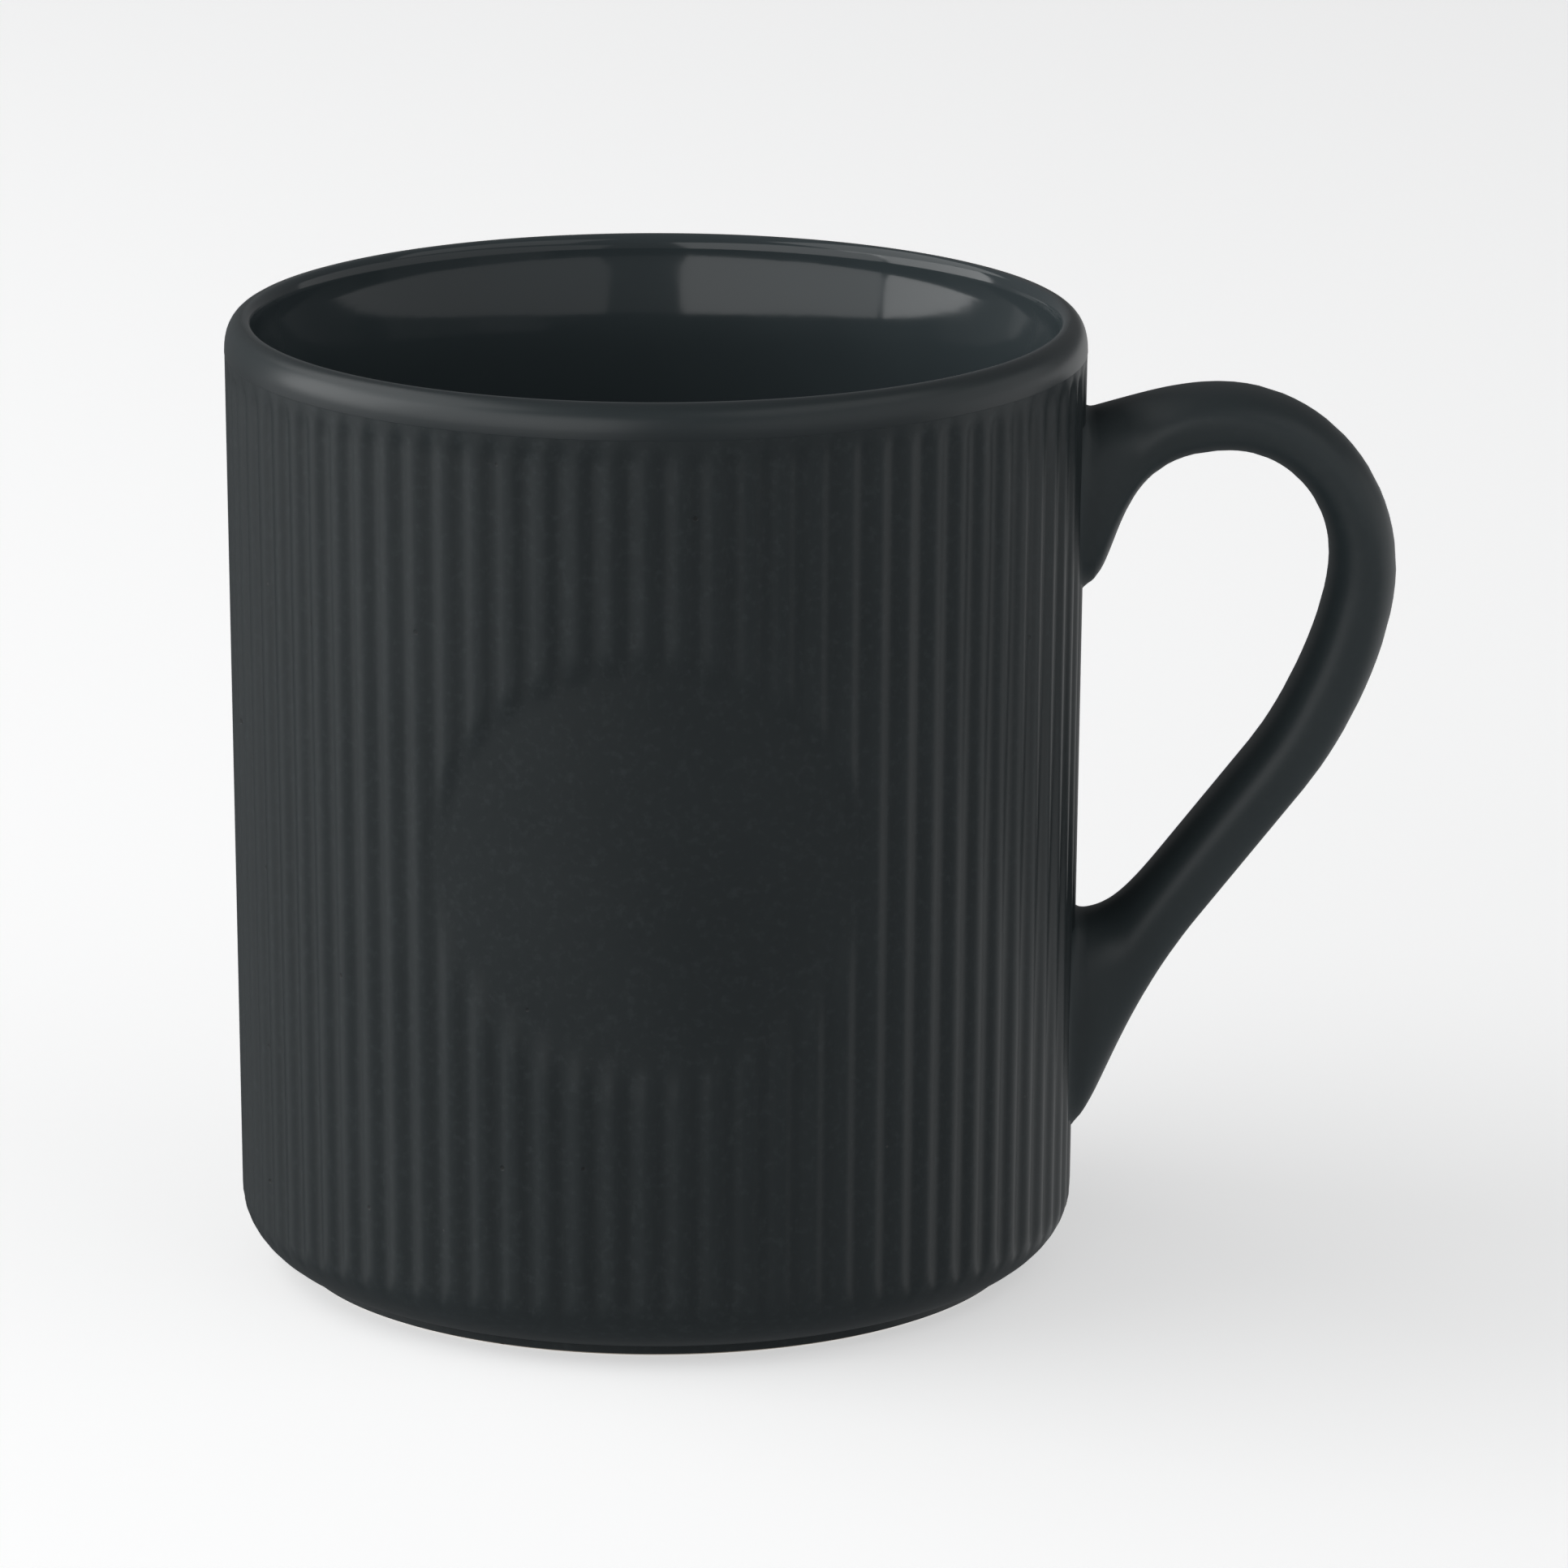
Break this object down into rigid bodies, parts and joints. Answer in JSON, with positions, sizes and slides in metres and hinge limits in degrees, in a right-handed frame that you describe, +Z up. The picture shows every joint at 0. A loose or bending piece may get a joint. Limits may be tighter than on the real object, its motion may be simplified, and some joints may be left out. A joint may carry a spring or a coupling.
{
  "type": "ceramic mug",
  "caption": "Straight-sided stoneware mug with fine vertical flutes, a smooth round field on its front and a curved loop handle; satin outside, gloss inside.",
  "frame": {"origin": "middle of the whole mug's footprint, cup and handle together, on the surface it stands on", "axes": "+X from the cup towards the handle, +Z up along the cup's axis; the smooth round field faces -Y"},
  "size_m": [0.113, 0.083, 0.0936],
  "materials": {
    "stoneware": "bare fired stoneware, fine grain",
    "slip": "bare fired slip, smooth",
    "satin_glaze": "satin charcoal glaze",
    "gloss_glaze": "gloss near-black glaze"
  },
  "bodies": {
    "root": {"cup_body": "stoneware", "handle_core": "stoneware", "upper_slip_joint": "slip", "lower_slip_joint": "slip", "outer_glaze": "satin_glaze", "handle_glaze": "satin_glaze", "underside_glaze": "satin_glaze", "inner_glaze": "gloss_glaze"}
  },
  "joints": []
}
